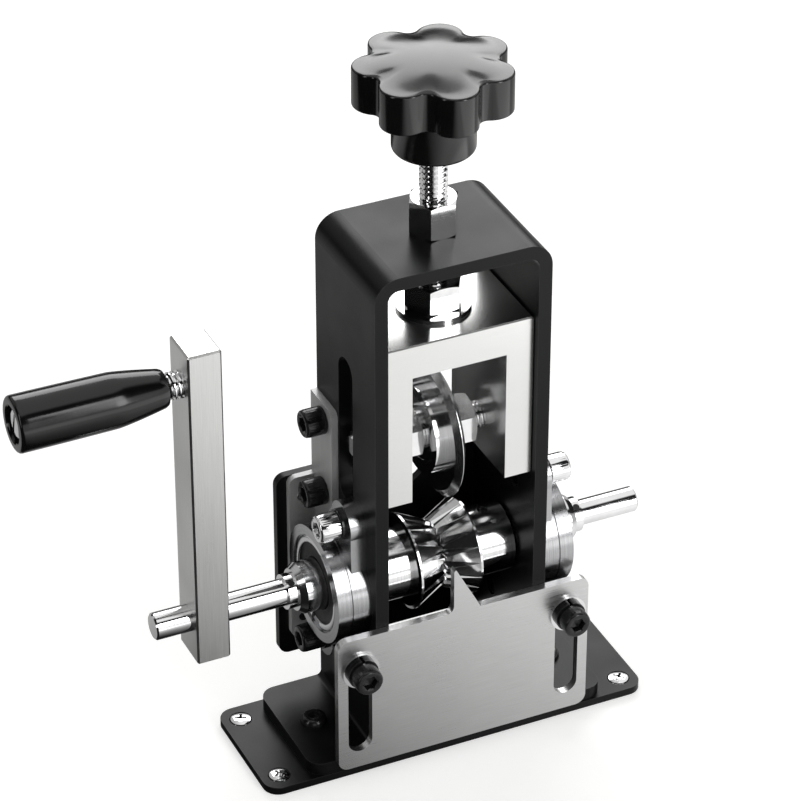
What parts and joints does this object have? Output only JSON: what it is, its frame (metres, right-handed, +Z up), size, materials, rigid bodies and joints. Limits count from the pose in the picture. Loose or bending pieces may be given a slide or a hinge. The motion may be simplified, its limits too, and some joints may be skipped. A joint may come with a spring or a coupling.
{
  "type": "hand crank wire stripper",
  "caption": "Bench wire stripper: a hand crank or a drill turns toothed wheels that feed cable under a ring blade, and a knob on a screw spindle sets the blade's depth.",
  "frame": {"origin": "centre of the base plate's underside, on the bench", "axes": "+Z up, +X along the drive shaft towards the drill stub, the cable leaves towards -Y"},
  "size_m": [0.2374, 0.0678, 0.2729],
  "materials": {
    "frame_black": "satin black powder coat",
    "black_oxide": "blackened alloy steel screws and washers",
    "plate_steel": "brushed stainless sheet",
    "bracket_steel": "satin zinc plated sheet steel",
    "arm_metal": "satin ground bar with bright edges",
    "carriage_steel": "fine ground and polished block",
    "bright_steel": "bright nickel plated fasteners, shaft and spindle",
    "housing_nickel": "dark nickel plated cast housing",
    "bearing_steel": "ground bearing rings and balls",
    "wheel_steel": "machined and hardened toothed wheels",
    "blade_steel": "ground ring blade with a polished bevel",
    "seal_rubber": "black bearing seals",
    "grip_plastic": "glossy black moulded grip",
    "knob_plastic": "semi-gloss black moulded knob",
    "brass": "turned brass insert"
  },
  "bodies": {
    "stand": {"base_plate": "frame_black", "main_frame": "frame_black", "foot_screws": "black_oxide", "top_nut": "bright_steel", "plate_lugs": "frame_black", "plate_washers": "bright_steel", "plate_spring_washers": "black_oxide", "plate_screws": "black_oxide", "guide_bracket_right": "bracket_steel", "guide_bracket_left": "bracket_steel", "bracket_screws": "black_oxide", "rear_guide_plate": "frame_black", "guide_plate_screws": "bright_steel", "bearing_housing_right": "housing_nickel", "bearing_housing_left": "housing_nickel", "flange_washers": "black_oxide", "flange_screws_upper": "bright_steel", "flange_screws_lower": "black_oxide", "bearing_outer_rings": "bearing_steel", "bearing_snap_rings": "bearing_steel", "bearing_seals": "seal_rubber", "shaft_bearing_balls": "bearing_steel", "shaft_bearing_cages": "bearing_steel"},
    "drive_train": {"drive_shaft": "bright_steel", "bearing_inner_ring_right": "bearing_steel", "bearing_inner_ring_left": "bearing_steel", "shaft_stop_rings": "bright_steel", "stop_ring_set_screws": "black_oxide", "feed_wheel_right": "wheel_steel", "feed_wheel_left": "wheel_steel", "feed_wheel_grub_screws": "black_oxide", "crank_arm": "arm_metal", "crank_grub_screw": "black_oxide", "handle_bolt": "bright_steel"},
    "handle": {"handle_grip": "grip_plastic"},
    "carriage": {"carriage": "carriage_steel", "carriage_washers": "bright_steel", "blade_axle": "bright_steel", "axle_nuts": "bright_steel", "axle_washers": "bright_steel", "blade_bearing_inner_ring": "bearing_steel"},
    "blade": {"blade": "blade_steel", "blade_hub": "bright_steel", "blade_lock_ring": "bright_steel", "blade_bearing_outer_ring": "bearing_steel", "blade_bearing_shields": "bearing_steel", "blade_bearing_balls": "bearing_steel", "blade_bearing_cage": "brass"},
    "adjuster": {"spindle": "bright_steel", "thrust_nut": "bright_steel", "spindle_lock_nut": "bright_steel", "knob_insert": "brass", "knob": "knob_plastic"},
    "front_guard": {"front_plate": "plate_steel"}
  },
  "joints": [
    {"name": "crank_turn", "type": "hinge", "parent": "stand", "child": "drive_train", "pos_m": [0, 0, 0.0695], "axis": [1, 0, 0], "continuous": true},
    {"name": "grip_spin", "type": "hinge", "parent": "drive_train", "child": "handle", "pos_m": [-0.128, 0, 0.1678], "axis": [1, 0, 0], "continuous": true},
    {"name": "carriage_slide", "type": "slide", "parent": "stand", "child": "carriage", "axis": [0, 0, 1], "range_m": [-0.016, 0.013]},
    {"name": "knob_turn", "type": "hinge", "parent": "carriage", "child": "adjuster", "pos_m": [0, 0, 0.24], "axis": [0, 0, 1], "range_deg": [-2880, 2340]},
    {"name": "blade_spin", "type": "hinge", "parent": "carriage", "child": "blade", "pos_m": [0, 0, 0.1246], "axis": [1, 0, 0], "continuous": true},
    {"name": "plate_slide", "type": "slide", "parent": "stand", "child": "front_guard", "axis": [0, 0, 1], "range_m": [0, 0.02]}
  ],
  "couplings": [
    {"joint": "knob_turn", "follows": "carriage_slide", "rad_per_m": 3141.6}
  ]
}
